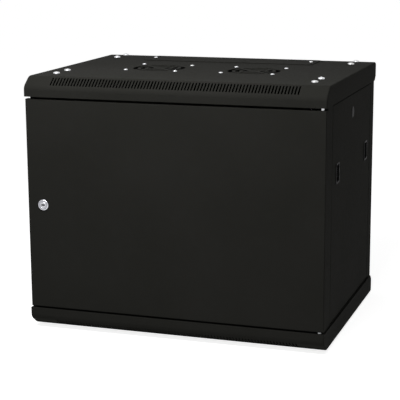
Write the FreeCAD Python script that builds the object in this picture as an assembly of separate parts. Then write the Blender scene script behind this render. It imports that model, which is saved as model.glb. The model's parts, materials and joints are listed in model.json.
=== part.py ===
import FreeCAD, Part
import math
import os

from FreeCAD import Placement, Rotation, Vector

# Wall mount network cabinet: 9 rack units, for 19-inch equipment, 600 wide and 450 deep.
# Millimetres. +X is to the right of someone facing the door, +Y runs back to the wall, +Z is up.
# The origin is under the middle of the cabinet, at the heads of the bottom cover's bolts.

# ---- overall sizes -------------------------------------------------------------------------
cabinet_width = 600.0          # over the two covers' side walls
cabinet_depth = 450.0          # from the covers' front lips to the wall
cabinet_height = 500.0         # over the flats of the two covers

# ---- sheet metal ---------------------------------------------------------------------------
cover_sheet = 1.2
frame_sheet = 1.5
rear_sheet = 1.5
door_sheet = 1.2
panel_sheet = 1.0
rail_sheet = 2.0
seat = 0.3                     # gap between pieces of different moving bodies
past = 1.0                     # cutters run this far past the faces that they cut
touch = 1e-4                   # edges nearer than this to a place count as lying there

# ---- covers: a pan with a vented bevel along its front ---------------------------------------
lip_height = 20.0
bevel_rise = 18.0
bevel_run = 24.0
lower_bend_radius = 6.0        # lip into bevel
upper_bend_radius = 18.0       # bevel into flat
cover_edge_radius = 3.0        # bends along the side walls
cover_rear_chamfer = 12.0
lip_return = 17.0              # flange folded back from the lip, which holds the hinge pins
vent_count = 80
vent_pitch = 6.2
vent_width = 3.0
vent_length = 20.5

# ---- body behind the door --------------------------------------------------------------------
cover_overhang = 3.0           # covers stand out past the side frames by this much
door_setback = 2.5             # door face behind the covers' lips
door_depth = 14.0
door_to_body = 4.5
front_flange = 20.0
rear_flange = 25.0
cover_flange = 57.0            # flange of a side frame under a cover
front_post = 37.0
rear_post = 36.0
window_to_cover = 1.5          # side frame window to the covers' side walls, up and down
panel_clearance = 1.0
panel_recess = 12.0
rebate = 20.0                  # border that the side panel closes against
frame_corner_radius = 2.5

# ---- small round pieces, which are drawn with flat sides -------------------------------------
round_facets = 16
bezel_facets = 32
hexagon = 6
head_facets = 8
shank_facets = 4

# ---- fasteners -------------------------------------------------------------------------------
cover_bolt_shank = 6.0
cover_bolt_length = 12.0
cover_bolt_head = 13.0
cover_bolt_head_height = 4.0
cover_bolt_hole = 6.4
cover_bolt_inset = 40.0        # from the side of the cabinet
front_bolt_setback = 68.0
rear_bolt_inset = 14.0         # last bolt to the wall
bolt_pair_spacing = 52.0

# ---- fans ------------------------------------------------------------------------------------
fan_size = 120.0
fan_thickness = 25.0
fan_corner = 4.0
fan_facets = 28
fan_flange = 4.0
fan_duct_wall = 3.5
fan_spoke_width = 5.0
fan_spacing = 200.0            # between the two fans' axes
fan_setback = 217.0            # fan axes behind the covers' lips
fan_bore = 115.0
fan_hub = 38.0
fan_hub_plate = 40.0           # plate under the hub, which the spokes carry
fan_blade_tip = 111.0
fan_blade_count = 7
fan_blade_chord = 30.0
fan_blade_bow = 2.5
fan_blade_sheet = 2.0
fan_blade_margin = 1.5
fan_spoke_height = 4.0
fan_stub = 8.0
fan_stub_height = 8.0
fan_running_gap = 2.0
grille_rings = 3
grille_pitch = 15.0
grille_slot = 9.0
grille_web = 7.0
grille_first = 14.0
grille_facets = 20

# ---- cable entries ---------------------------------------------------------------------------
entry_width = 300.0
entry_depth = 55.0
entry_setback = 57.0           # middle of the entry to the wall
entry_plate_width = 370.0
entry_plate_depth = 88.0
entry_plate_sheet = 1.2
entry_plate_corner = 5.0

# ---- rear panel ------------------------------------------------------------------------------
keyhole_spacing_x = 460.0
keyhole_spacing_z = 300.0
keyhole_head = 14.0
keyhole_slot = 8.0
keyhole_rise = 14.0
wall_hole = 9.0
wall_hole_spacing = 380.0
rear_window_width = 300.0
rear_window_height = 60.0
rear_window_corner = 6.0
rear_window_drop = 120.0       # window's middle below the panel's middle
rear_panel_inset = 1.0         # inside the side frames' faces

# ---- 19-inch rails ---------------------------------------------------------------------------
rack_units = 9
rack_unit = 44.45
rack_holes_per_unit = 3
rack_hole_first = 6.35         # first hole's middle above the bottom of its unit
rack_hole_step = 15.875
rack_hole = 9.5
rail_inset = 74.5              # from the cabinet's side, which leaves the standard 451 opening
rack_hole_inset = 7.05         # holes' middle past the opening's edge, so 465.1 across
rail_width = 31.5
rail_flange = 30.0
rail_end_margin = 7.0
front_rail_setback = 66.0
rear_rail_setback = 360.0
hat_height = 30.0              # depth rails are hat sections
hat_brim = 15.0
hat_spread = 330.0             # between the upper and lower depth rails
hat_slot_length = 60.0
hat_slot_width = 6.4
hat_slot_count = 4
hat_slot_pitch = 78.0

# ---- door ------------------------------------------------------------------------------------
door_top_gap = 4.8
door_bottom_gap = 3.4
door_side_gap = 1.5            # door edge inside the covers' side walls
door_edge_radius = 2.0
door_return = 10.0
hinge_inset = 9.0              # hinge axis from the door's edge
hinge_setback = 6.5            # hinge axis behind the door's face
hinge_pin = 6.0
pin_running_gap = 0.1
pin_engagement = 3.0           # pin standing past the cover's return flange
pin_tail = 8.0                 # top pin below its bracket
pin_head = 6.0                 # bottom pin above its bracket's plate
pin_collar = 9.0
pin_collar_height = 2.0
pin_collar_drop = 14.0         # collar below the door's top edge
pin_handle = 3.0
pin_handle_length = 22.0
bracket_sheet = 2.0
bracket_width = 24.0
bracket_length = 24.0
top_bracket_drop = 34.0        # bracket's plate below the door's top edge
bottom_bracket_rise = 16.0
bottom_bracket_length = 12.0
hinge_washer = 11.0
stiffener_width = 60.0
stiffener_top = 36.0
stiffener_depth = 9.0
lock_inset = 32.5
lock_bezel = 22.0
lock_bezel_height = 2.2
lock_bezel_taper = 1.2
lock_body = 18.0
lock_flat = 16.0
lock_length = 20.5
lock_plug = 12.0
keyway_width = 2.2
keyway_height = 7.0
keyway_depth = 8.0             # behind the door's face
lock_plug_setback = 0.4        # plug's face behind the bezel's
lock_nut_across = 24.0
lock_nut_height = 4.0
cam_length = 21.0
cam_width = 12.0
cam_sheet = 2.0
cam_square = 7.0               # plug's drive, through the cam
cam_screw_across = 10.0
cam_screw_height = 3.0
buffer_diameter = 8.0
buffer_spread = 300.0

# ---- side panels -----------------------------------------------------------------------------
latch_inset = 46.0             # latch from the panel's front or rear edge
latch_drop = 134.0             # latch below the panel's top edge
latch_width = 28.0
latch_height = 40.0
latch_flange = 1.3
latch_wall = 1.5
latch_corner = 4.0
latch_cup_width = 21.0
latch_cup_height = 33.0
latch_travel = 8.0
thumb_width = 9.0
thumb_height = 22.0
thumb_setback = 1.5            # pad's face behind the panel's face
stem_height = 8.0
tongue_height = 14.0
tongue_sheet = 2.0
tongue_to_rebate = 2.0         # tongue's end to the rebate while unlatched
plug_diameter = 18.0
plug_drop = 36.0
plug_flange = 1.2
plug_brim = 2.0
plug_depth = 5.0
plug_facets = 24
hook_width = 24.0
hook_length = 5.0
hook_spacing = 240.0
hook_setback = 5.0             # behind the panel's face
hook_slot_setback = 3.0        # hook's slot behind the frame's face
hook_side_gap = 1.0

# ---- places worked out from the sizes --------------------------------------------------------
half_width = cabinet_width / 2
front = -cabinet_depth / 2
back = cabinet_depth / 2
floor_z = cover_bolt_head_height
roof_z = floor_z + cabinet_height
middle_z = (floor_z + roof_z) / 2
cover_height = lip_height + bevel_rise
top_skirt_z = roof_z - cover_height
bottom_skirt_z = floor_z + cover_height

body_half = half_width - cover_overhang
door_face = front + door_setback
body_front = door_face + door_depth + door_to_body
body_back = back - cover_sheet - rear_sheet
frame_low = floor_z + cover_sheet
frame_high = roof_z - cover_sheet

window_front = body_front + front_post
window_back = body_back - rear_post
window_low = bottom_skirt_z + window_to_cover
window_high = top_skirt_z - window_to_cover
rebate_face = body_half - panel_recess
rebate_inner = rebate_face - frame_sheet
window_middle_y = (window_front + window_back) / 2

door_half = half_width - door_side_gap
door_low = bottom_skirt_z + door_bottom_gap
door_high = top_skirt_z - door_top_gap
door_middle_z = (door_low + door_high) / 2
hinge_x = door_half - hinge_inset
hinge_y = door_face + hinge_setback
lock_x = -(door_half - lock_inset)

panel_front = window_front + panel_clearance
panel_back = window_back - panel_clearance
panel_low = window_low + panel_clearance
panel_high = window_high - panel_clearance
panel_depth = panel_recess - seat
latch_z = panel_high - latch_drop
latch_depth = panel_recess + frame_sheet
latch_ys = (panel_front + latch_inset, panel_back - latch_inset)

bolt_ys = (front + front_bolt_setback,
           front + front_bolt_setback + bolt_pair_spacing,
           back - rear_bolt_inset - bolt_pair_spacing,
           back - rear_bolt_inset)
bolt_xs = (-(half_width - cover_bolt_inset), half_width - cover_bolt_inset)
fan_xs = (-fan_spacing / 2, fan_spacing / 2)
fan_y = front + fan_setback
entry_y = back - entry_setback
rail_inner = half_width - rail_inset
rail_outer = rail_inner + rail_width
rack_height = rack_units * rack_unit
rail_low = middle_z - rack_height / 2
hat_zs = {"lower": middle_z - hat_spread / 2, "upper": middle_z + hat_spread / 2}

X_AXIS = Vector(1, 0, 0)
Y_AXIS = Vector(0, 1, 0)
Z_AXIS = Vector(0, 0, 1)
ORIGIN = Vector(0, 0, 0)


# ---- helpers ---------------------------------------------------------------------------------
def box(x0, x1, y0, y1, z0, z1):
    low = Vector(min(x0, x1), min(y0, y1), min(z0, z1))
    return Part.makeBox(abs(x1 - x0), abs(y1 - y0), abs(z1 - z0), low)


def rod(radius, start, axis, length):
    """A cylinder from start along axis."""
    return Part.makeCylinder(radius, length, start, axis)


def prism(sides, across, start, axis, length):
    """A bar with flat sides, across wide over its flats, from start along axis."""
    radius = across / 2 / math.cos(math.pi / sides)
    turns = [2 * math.pi * (index + 0.5) / sides for index in range(sides)]
    points = [Vector(radius * math.cos(turn), radius * math.sin(turn), 0) for turn in turns]
    bar = extrude(points, Vector(0, 0, length))
    bar.Placement = Placement(start, Rotation(Z_AXIS, axis))
    return bar


def extrude(points, direction):
    """A prism from a closed outline of points."""
    outline = Part.makePolygon(list(points) + [points[0]])
    return Part.Face(outline).extrude(direction)


def round_edges(shape, radius, wanted):
    """Fillet the edges for which wanted(edge) is true."""
    chosen = [edge for edge in shape.Edges if wanted(edge)]
    return shape.makeFillet(radius, chosen) if chosen else shape


def cut_corners(shape, size, axis):
    """Chamfer the edges that run along axis."""
    return shape.makeChamfer(size, [edge for edge in shape.Edges if along(edge, axis)])


def along(edge, axis):
    """True where a straight edge runs along axis."""
    if len(edge.Vertexes) != 2 or not isinstance(edge.Curve, Part.Line):
        return False
    direction = edge.Vertexes[1].Point - edge.Vertexes[0].Point
    return direction.cross(axis).Length < 1e-6 * direction.Length


def mirrored(shape):
    """The same piece on the cabinet's other side."""
    return shape.mirror(ORIGIN, X_AXIS)


def upside_down(shape):
    """The same piece at the cabinet's other end."""
    return shape.mirror(Vector(0, 0, middle_z), Z_AXIS)


def screw(shank, length, head, head_height):
    """A flat-sided screw with its head's underside at the origin and its shank along -Z."""
    top = prism(head_facets, head, ORIGIN, Z_AXIS, head_height)
    across = shank * math.cos(math.pi / shank_facets)
    return top.fuse(prism(shank_facets, across, Vector(0, 0, -length), Z_AXIS, length)).removeSplitter()


def hole(diameter, start, axis, length):
    """Cutter for a clearance hole that a screw's head covers."""
    return prism(hexagon, diameter, start, axis, length)


def turned(shape, angle):
    """A copy turned about Z."""
    copy = shape.copy()
    copy.rotate(ORIGIN, Z_AXIS, angle)
    return copy


def placed(shape, position, outward=Z_AXIS):
    """A copy of a piece made along Z, moved to position and turned to point outward."""
    copy = shape.copy()
    copy.Placement = Placement(position, Rotation(Z_AXIS, outward))
    return copy


# ---- covers ----------------------------------------------------------------------------------
def cover_envelope(inset, skirt):
    """The top cover's outer form drawn in by inset, down to the level skirt."""
    lip = front + inset
    crown = roof_z - inset
    slope = math.atan2(bevel_rise, bevel_run)
    lip_top = roof_z - bevel_rise - inset * math.tan(math.pi / 4 - slope / 2)
    bevel_end = front + bevel_run + inset * math.tan(slope / 2)
    side = half_width - inset
    outline = [Vector(-side, lip, skirt), Vector(-side, lip, lip_top), Vector(-side, bevel_end, crown),
               Vector(-side, back - inset, crown), Vector(-side, back - inset, skirt)]
    solid = extrude(outline, Vector(2 * side, 0, 0))

    def at(edge, y, z):
        middle = edge.BoundBox.Center
        return along(edge, X_AXIS) and abs(middle.y - y) < touch and abs(middle.z - z) < touch

    solid = round_edges(solid, upper_bend_radius - inset, lambda edge: at(edge, bevel_end, crown))
    solid = round_edges(solid, lower_bend_radius - inset, lambda edge: at(edge, lip, lip_top))

    def on_side_profile(edge):
        bounds = edge.BoundBox
        flat = bounds.XLength < touch and abs(abs(bounds.XMin) - side) < touch
        return flat and bounds.ZMax > skirt + touch and bounds.YMin < back - inset - touch

    return round_edges(solid, cover_edge_radius, on_side_profile) if inset == 0 else solid


def bevel_vents():
    """Cutters for the row of slots along the bevel."""
    slope = math.atan2(bevel_rise, bevel_run)
    flat_start = lower_bend_radius * math.tan(math.pi / 4 - slope / 2)
    flat_end = math.hypot(bevel_rise, bevel_run) - upper_bend_radius * math.tan(slope / 2)
    middle = (flat_start + flat_end) / 2
    centre_y = front + middle * math.cos(slope)
    centre_z = roof_z - bevel_rise + middle * math.sin(slope)
    deep = 2 * cover_sheet
    slot = box(-vent_width / 2, vent_width / 2, -vent_length / 2, vent_length / 2, -deep, deep)
    cutters = []
    for index in range(vent_count):
        x = (index - (vent_count - 1) / 2) * vent_pitch
        cutter = slot.copy()
        cutter.Placement = Placement(Vector(x, centre_y, centre_z), Rotation(X_AXIS, math.degrees(slope)))
        cutters.append(cutter)
    return Part.makeCompound(cutters)


def cover_pan():
    """The pressing that both covers share, as the top one."""
    below = top_skirt_z - past
    pan = cover_envelope(0, top_skirt_z).cut(cover_envelope(cover_sheet, below))
    start = -half_width - past
    wedge = [Vector(start, back + past, below), Vector(start, back - cover_rear_chamfer - past, below),
             Vector(start, back + past, top_skirt_z + cover_rear_chamfer + past)]
    pan = pan.cut(extrude(wedge, Vector(cabinet_width + 2 * past, 0, 0)))
    reach = half_width - cover_sheet / 2
    flange = box(-reach, reach, front + cover_sheet / 2, front + lip_return,
                 top_skirt_z, top_skirt_z + cover_sheet)
    pin_hole = rod(hinge_pin / 2 + pin_running_gap, Vector(hinge_x, hinge_y, below), Z_AXIS,
                   cover_sheet + 2 * past)
    pan = pan.fuse(flange).cut(pin_hole).cut(bevel_vents())
    entry = box(-entry_width / 2, entry_width / 2, entry_y - entry_depth / 2, entry_y + entry_depth / 2,
                roof_z - cover_sheet - past, roof_z + past)
    under = roof_z - cover_sheet - past
    through = cover_sheet + 2 * past
    bolt_holes = [hole(cover_bolt_hole, Vector(x, y, under), Z_AXIS, through) for x, y in bolt_points()]
    return pan.cut(entry).cut(Part.makeCompound(bolt_holes))


def bolt_points():
    return [(x, y) for x in bolt_xs for y in bolt_ys]


def grille(x):
    """Cutters for one fan's grille: rings of slots between four webs."""
    height = cover_sheet + 2 * past
    rings = []
    for ring in range(grille_rings):
        inner = grille_first + ring * grille_pitch
        centre = Vector(x, fan_y, roof_z - cover_sheet - past)
        outside = prism(grille_facets, 2 * (inner + grille_slot), centre, Z_AXIS, height)
        rings.append(outside.cut(prism(grille_facets, 2 * inner, centre, Z_AXIS, height)))
    reach = grille_first + grille_rings * grille_pitch
    web = box(-reach, reach, -grille_web / 2, grille_web / 2, -height, height)
    cutter = Part.makeCompound(rings)
    for angle in (45, 135):
        arm = web.copy()
        arm.Placement = Placement(Vector(x, fan_y, roof_z), Rotation(Z_AXIS, angle))
        cutter = cutter.cut(arm)
    return cutter


def top_cover():
    cover = cover_pan()
    for x in fan_xs:
        cover = cover.cut(grille(x))
    return cover


def bottom_cover():
    return upside_down(cover_pan())


def top_cover_bolts():
    bolt = screw(cover_bolt_shank, cover_bolt_length, cover_bolt_head, cover_bolt_head_height)
    return Part.makeCompound([placed(bolt, Vector(x, y, roof_z)) for x, y in bolt_points()])


def bottom_cover_bolts():
    return upside_down(top_cover_bolts())


def top_entry_plate():
    plate = box(-entry_plate_width / 2, entry_plate_width / 2, entry_y - entry_plate_depth / 2,
                entry_y + entry_plate_depth / 2, roof_z, roof_z + entry_plate_sheet)
    return cut_corners(plate, entry_plate_corner, Z_AXIS)


# ---- fans ------------------------------------------------------------------------------------
def fan_housing(x):
    """Square frame with a round duct, and a hub that three spokes carry at the bottom."""
    top = roof_z - cover_sheet
    low = top - fan_thickness
    half = fan_size / 2
    duct = fan_bore / 2
    frame = box(-half, half, -half, half, low, top)
    frame = cut_corners(frame, fan_corner, Z_AXIS)
    frame = frame.cut(prism(fan_facets, fan_bore, Vector(0, 0, low - past), Z_AXIS,
                            fan_thickness + 2 * past))
    pocket = box(duct + fan_duct_wall, 2 * half, -half, half, low + fan_flange, top - fan_flange)
    for turn in (45, 135, 225, 315):
        frame = frame.cut(turned(pocket, turn))
    frame = frame.fuse(prism(fan_facets, fan_hub_plate, Vector(0, 0, low), Z_AXIS, fan_spoke_height))
    spoke = box(fan_hub / 2, duct + fan_duct_wall / 2, -fan_spoke_width / 2, fan_spoke_width / 2,
                low, low + fan_spoke_height)
    for turn in (90, 210, 330):
        frame = frame.fuse(turned(spoke, turn))
    stub = rod(fan_stub / 2 - pin_running_gap, Vector(0, 0, low + fan_spoke_height), Z_AXIS, fan_stub_height)
    frame = frame.fuse(stub).removeSplitter()
    frame.Placement = Placement(Vector(x, fan_y, 0), Rotation())
    return frame


def fan_impeller(x):
    """Hub cup with bowed blades, running on the housing's stub."""
    top = roof_z - cover_sheet - fan_running_gap
    low = roof_z - cover_sheet - fan_thickness + fan_spoke_height + seat
    height = top - low
    wheel = prism(fan_facets, fan_hub, ORIGIN, Z_AXIS, height)
    blade = fan_blade(height)
    for index in range(fan_blade_count):
        wheel = wheel.fuse(turned(blade, 360.0 * index / fan_blade_count))
    wheel = wheel.common(prism(fan_facets, fan_blade_tip, ORIGIN, Z_AXIS, height))
    wheel = wheel.cut(rod(fan_stub / 2, Vector(0, 0, -past), Z_AXIS, fan_stub_height + past + seat))
    wheel.Placement = Placement(Vector(x, fan_y, low), Rotation())
    return wheel


def fan_blade(height):
    """One blade: a bowed strip, swept out from inside the hub past the tip circle."""
    reach = fan_blade_chord / 2
    rise = height - 2 * fan_blade_margin
    low = Vector(0, -reach, fan_blade_margin)
    high = Vector(0, reach, fan_blade_margin + rise)
    middle = (low + high) * 0.5 + Vector(0, fan_blade_bow, -fan_blade_bow)
    thick = Vector(0, -fan_blade_sheet, 0)
    outline = [low, middle, high, high + thick, middle + thick, low + thick]
    start = fan_hub / 2 - fan_blade_sheet
    return extrude([point + Vector(start, 0, 0) for point in outline], Vector(fan_blade_tip / 2, 0, 0))


# ---- side frames and rear panel --------------------------------------------------------------
def right_side_frame():
    """Folded frame: posts and flanges round a window with a sunk border for the side panel."""
    skin = box(body_half - cover_flange, body_half, body_front, body_back, frame_low, frame_high)
    skin = round_edges(skin, frame_corner_radius, lambda edge: (
        along(edge, Z_AXIS) and edge.BoundBox.XMin > body_half - touch))
    inside = body_half - cover_flange - past
    between = (frame_low + frame_sheet, frame_high - frame_sheet)
    frame = skin.cut(box(inside, body_half - frame_sheet, body_front + frame_sheet, body_back - frame_sheet,
                         *between))
    frame = frame.cut(box(inside, body_half - front_flange, body_front - past,
                          body_front + frame_sheet + past, frame_low - past, frame_high + past))
    frame = frame.cut(box(inside, body_half - rear_flange, body_back - frame_sheet - past, body_back + past,
                          *between))
    tray = box(rebate_inner, body_half, window_front - frame_sheet, window_back + frame_sheet,
               window_low - frame_sheet, window_high + frame_sheet)
    recess = box(rebate_face, body_half + past, window_front, window_back, window_low, window_high)
    opening = box(rebate_inner - past, body_half + past, window_front + rebate, window_back - rebate,
                  window_low + rebate, window_high - rebate)
    frame = frame.fuse(tray).cut(recess).cut(opening)
    hook_reach = hook_width / 2 + hook_side_gap
    hook_slots = [box(rebate_face, body_half - hook_slot_setback, y - hook_reach, y + hook_reach,
                      window_low - frame_sheet - past, window_low + past) for y in hook_ys()]
    frame = frame.cut(Part.makeCompound(hook_slots))
    bolts = [hole(cover_bolt_hole, Vector(half_width - cover_bolt_inset, y, frame_low - past), Z_AXIS,
                  frame_high - frame_low + 2 * past) for y in bolt_ys]
    frame = frame.cut(Part.makeCompound(bolts))
    inner = cover_envelope(cover_sheet + seat, middle_z)
    frame = frame.common(inner.fuse(upside_down(inner)).fuse(
        box(-half_width, half_width, body_front, body_back, bottom_skirt_z, top_skirt_z)))
    return frame.removeSplitter()


def hook_ys():
    return [window_middle_y + side * hook_spacing / 2 for side in (-1, 1)]


def rear_panel():
    side = body_half - rear_panel_inset
    panel = box(-side, side, body_back, body_back + rear_sheet, frame_low, frame_high)
    start = body_back - past
    end = body_back + rear_sheet + past
    through = end - start
    holes = []
    for x in (-keyhole_spacing_x / 2, keyhole_spacing_x / 2):
        for z in (middle_z - keyhole_spacing_z / 2, middle_z + keyhole_spacing_z / 2):
            top = z + keyhole_rise
            holes.append(prism(round_facets, keyhole_head, Vector(x, start, z), Y_AXIS, through))
            holes.append(box(x - keyhole_slot / 2, x + keyhole_slot / 2, start, end, z, top))
            holes.append(prism(round_facets, keyhole_slot, Vector(x, start, top), Y_AXIS, through))
    for x in (-wall_hole_spacing / 2, wall_hole_spacing / 2):
        holes.append(rod(wall_hole / 2, Vector(x, start, middle_z), Y_AXIS, through))
    window_z = middle_z - rear_window_drop
    window = box(-rear_window_width / 2, rear_window_width / 2, start, end,
                 window_z - rear_window_height / 2, window_z + rear_window_height / 2)
    holes.append(cut_corners(window, rear_window_corner, Y_AXIS))
    for cutter in holes:
        panel = panel.cut(cutter)
    return panel


# ---- rails -----------------------------------------------------------------------------------
def depth_rail(z):
    """Hat section from the front post to the rear post, on the right."""
    web = rail_outer
    brim = rebate_inner
    sheet = frame_sheet
    half = hat_height / 2
    tip = half + hat_brim
    outline = [Vector(brim, 0, tip), Vector(brim, 0, half - sheet), Vector(web + sheet, 0, half - sheet),
               Vector(web + sheet, 0, -half + sheet), Vector(brim, 0, -half + sheet), Vector(brim, 0, -tip),
               Vector(brim - sheet, 0, -tip), Vector(brim - sheet, 0, -half), Vector(web, 0, -half),
               Vector(web, 0, half), Vector(brim - sheet, 0, half), Vector(brim - sheet, 0, tip)]
    start = window_front + panel_clearance
    length = window_back - window_front - 2 * panel_clearance
    rail = extrude([point + Vector(0, start, z) for point in outline], Vector(0, length, 0))
    slots = []
    for index in range(hat_slot_count):
        y = window_middle_y + (index - (hat_slot_count - 1) / 2) * hat_slot_pitch
        slots.append(box(web - past, web + sheet + past, y - hat_slot_length / 2, y + hat_slot_length / 2,
                         z - hat_slot_width / 2, z + hat_slot_width / 2))
    return rail.cut(Part.makeCompound(slots))


def rack_rail(face_y, facing):
    """Angle with three square holes a rack unit, on the right. facing is -1 to the door, 1 to the wall."""
    inner_y = face_y - facing * rail_sheet
    low = rail_low - rail_end_margin
    high = rail_low + rack_height + rail_end_margin
    face = box(rail_inner, rail_outer, face_y, inner_y, low, high)
    flange = box(rail_outer - rail_sheet, rail_outer, face_y, face_y - facing * rail_flange, low, high)
    rail = face.fuse(flange).removeSplitter()
    hole_x = rail_inner + rack_hole_inset
    holes = []
    for unit in range(rack_units):
        for step in range(rack_holes_per_unit):
            z = rail_low + unit * rack_unit + rack_hole_first + step * rack_hole_step
            holes.append(box(hole_x - rack_hole / 2, hole_x + rack_hole / 2,
                             face_y - rail_sheet - past, face_y + rail_sheet + past,
                             z - rack_hole / 2, z + rack_hole / 2))
    return rail.cut(Part.makeCompound(holes))


def rack_rail_faces():
    return {"front": (front + front_rail_setback, -1), "rear": (front + rear_rail_setback, 1)}


# ---- door ------------------------------------------------------------------------------------
def door_panel():
    """Plain sheet door folded into a tray, with a second fold round its back."""
    def tray(inset):
        return box(-door_half + inset, door_half - inset, door_face + inset, door_face + door_depth - inset,
                   door_low + inset, door_high - inset)

    outside = round_edges(tray(0), door_edge_radius, lambda edge: edge.BoundBox.YMax < door_face + touch)
    rim = door_sheet + door_return
    mouth = box(-door_half + rim, door_half - rim, door_face + door_depth / 2, door_face + door_depth + past,
                door_low + rim, door_high - rim)
    door = outside.cut(tray(door_sheet)).cut(mouth)
    for z in (door_low, door_high):
        start = Vector(hinge_x, hinge_y, z - 2 * door_sheet)
        door = door.cut(rod(hinge_pin / 2 + pin_running_gap, start, Z_AXIS, 4 * door_sheet))
    barrel = lock_barrel(pin_running_gap, 3 * door_sheet)
    return door.cut(placed(barrel, Vector(lock_x, door_face - door_sheet, door_middle_z), Y_AXIS))


def lock_barrel(clearance, length):
    """The barrel's round section with two flats, along Z."""
    bar = prism(round_facets, lock_body + 2 * clearance, ORIGIN, Z_AXIS, length)
    half = lock_flat / 2 + clearance
    return bar.common(box(-half, half, -lock_body, lock_body, 0, length))


def lock_place(shape, setback):
    """Move a lock piece made along Z to the lock's axis, setback behind the door's face."""
    return placed(shape, Vector(lock_x, door_face + setback, door_middle_z), Y_AXIS)


def lock_housing():
    """Chromed barrel with a stepped round bezel."""
    rim = prism(bezel_facets, lock_bezel, Vector(0, 0, -lock_bezel_height), Z_AXIS, lock_bezel_height)
    face = [edge for edge in rim.Edges if edge.BoundBox.ZMax < touch - lock_bezel_height]
    bezel = rim.makeChamfer(lock_bezel_taper, face)
    barrel = lock_barrel(0, lock_length)
    bore = rod(lock_plug / 2 + pin_running_gap, Vector(0, 0, -lock_bezel_height - past), Z_AXIS,
               lock_bezel_height + lock_length + 2 * past)
    return lock_place(bezel.fuse(barrel).removeSplitter().cut(bore), 0)


def lock_nut():
    nut = prism(hexagon, lock_nut_across, ORIGIN, Z_AXIS, lock_nut_height)
    nut = nut.cut(prism(round_facets, lock_body, Vector(0, 0, -past), Z_AXIS, lock_nut_height + 2 * past))
    return lock_place(nut, door_sheet)


def square_bar(across, low, high):
    """A square bar on the Z axis."""
    return box(-across / 2, across / 2, -across / 2, across / 2, low, high)


def lock_cylinder():
    """Plug with a keyway, which turns in the housing and drives the cam."""
    proud = lock_bezel_height - lock_plug_setback
    plug = rod(lock_plug / 2, Vector(0, 0, -proud), Z_AXIS, proud + lock_length + seat)
    keyway = box(-keyway_width / 2, keyway_width / 2, -keyway_height / 2, keyway_height / 2,
                 -proud - past, keyway_depth)
    tang = square_bar(cam_square, lock_length, lock_length + seat + cam_sheet)
    return lock_place(plug.cut(keyway).fuse(tang), 0)


def lock_cam():
    """Flat cam hanging down from the plug while the door is unlocked."""
    half = cam_width / 2
    arm = box(-half, half, 0, cam_length, 0, cam_sheet)
    cam = arm.fuse(rod(half, ORIGIN, Z_AXIS, cam_sheet))
    cam = cam.fuse(rod(half, Vector(0, cam_length, 0), Z_AXIS, cam_sheet)).removeSplitter()
    cam = cam.cut(square_bar(cam_square, -past, cam_sheet + past))
    return lock_place(cam, lock_length + seat)


def cam_screw():
    head = prism(hexagon, cam_screw_across, ORIGIN, Z_AXIS, cam_screw_height)
    return lock_place(head, lock_length + seat + cam_sheet)


def door_stiffener():
    """Shallow hat section welded down the middle of the door's inner face."""
    base = door_face + door_sheet
    half = stiffener_width / 2
    top = stiffener_top / 2
    deep = stiffener_depth
    sheet = door_sheet
    outline = [Vector(-half, base, 0), Vector(-half, base + sheet, 0), Vector(-top, base + sheet, 0),
               Vector(-top, base + deep, 0), Vector(top, base + deep, 0), Vector(top, base + sheet, 0),
               Vector(half, base + sheet, 0), Vector(half, base, 0), Vector(top - sheet, base, 0),
               Vector(top - sheet, base + deep - sheet, 0), Vector(-top + sheet, base + deep - sheet, 0),
               Vector(-top + sheet, base, 0)]
    low = door_low + 2 * door_return
    high = door_high - 2 * door_return
    return extrude([point + Vector(0, 0, low) for point in outline], Vector(0, 0, high - low))


def hinge_bracket(plate_z, length):
    """Angle on the door's inner side wall, whose plate guides a hinge pin."""
    sheet = bracket_sheet
    wall = door_half - door_sheet
    y0 = door_face + door_sheet
    y1 = door_face + door_depth - door_sheet
    plate = box(wall - bracket_width, wall, y0, y1, plate_z, plate_z + sheet)
    leg = box(wall - sheet, wall, y0, y1, plate_z, plate_z + length)
    pin_hole = rod(hinge_pin / 2 + pin_running_gap, Vector(hinge_x, hinge_y, plate_z - past), Z_AXIS,
                   sheet + 2 * past)
    return plate.fuse(leg).removeSplitter().cut(pin_hole)


def top_bracket_z():
    return door_high - top_bracket_drop


def top_hinge_pin():
    """Sliding pin with a collar for its spring and a side handle to pull it down."""
    high = top_skirt_z + cover_sheet + pin_engagement
    low = top_bracket_z() - pin_tail
    pin = rod(hinge_pin / 2, Vector(hinge_x, hinge_y, low), Z_AXIS, high - low)
    collar_z = door_high - pin_collar_drop
    collar = prism(round_facets, pin_collar, Vector(hinge_x, hinge_y, collar_z), Z_AXIS, pin_collar_height)
    handle_start = Vector(hinge_x, hinge_y, collar_z + pin_collar_height / 2)
    handle = prism(hexagon, pin_handle, handle_start, X_AXIS * -1, pin_handle_length)
    return pin.fuse(collar).fuse(handle).removeSplitter()


def bottom_hinge_pin():
    low = bottom_skirt_z - cover_sheet - pin_engagement
    high = door_low + bottom_bracket_rise + pin_head
    return rod(hinge_pin / 2, Vector(hinge_x, hinge_y, low), Z_AXIS, high - low)


def hinge_washer_ring():
    """Thrust washer on the bottom cover's flange, which carries the door."""
    height = door_bottom_gap - seat
    ring = prism(round_facets, hinge_washer, Vector(hinge_x, hinge_y, bottom_skirt_z), Z_AXIS, height)
    return ring.cut(rod(hinge_pin / 2 + pin_running_gap, Vector(hinge_x, hinge_y, bottom_skirt_z - past),
                        Z_AXIS, height + 2 * past))


def door_buffers():
    """Rubber studs on the left post that the closed door rests against."""
    height = door_to_body - seat
    x = -(door_half - door_sheet - door_return / 2)
    stud = rod(buffer_diameter / 2, ORIGIN, Z_AXIS, height)
    zs = (middle_z - buffer_spread / 2, middle_z + buffer_spread / 2)
    return Part.makeCompound([placed(stud, Vector(x, body_front, z), Y_AXIS * -1) for z in zs])


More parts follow.
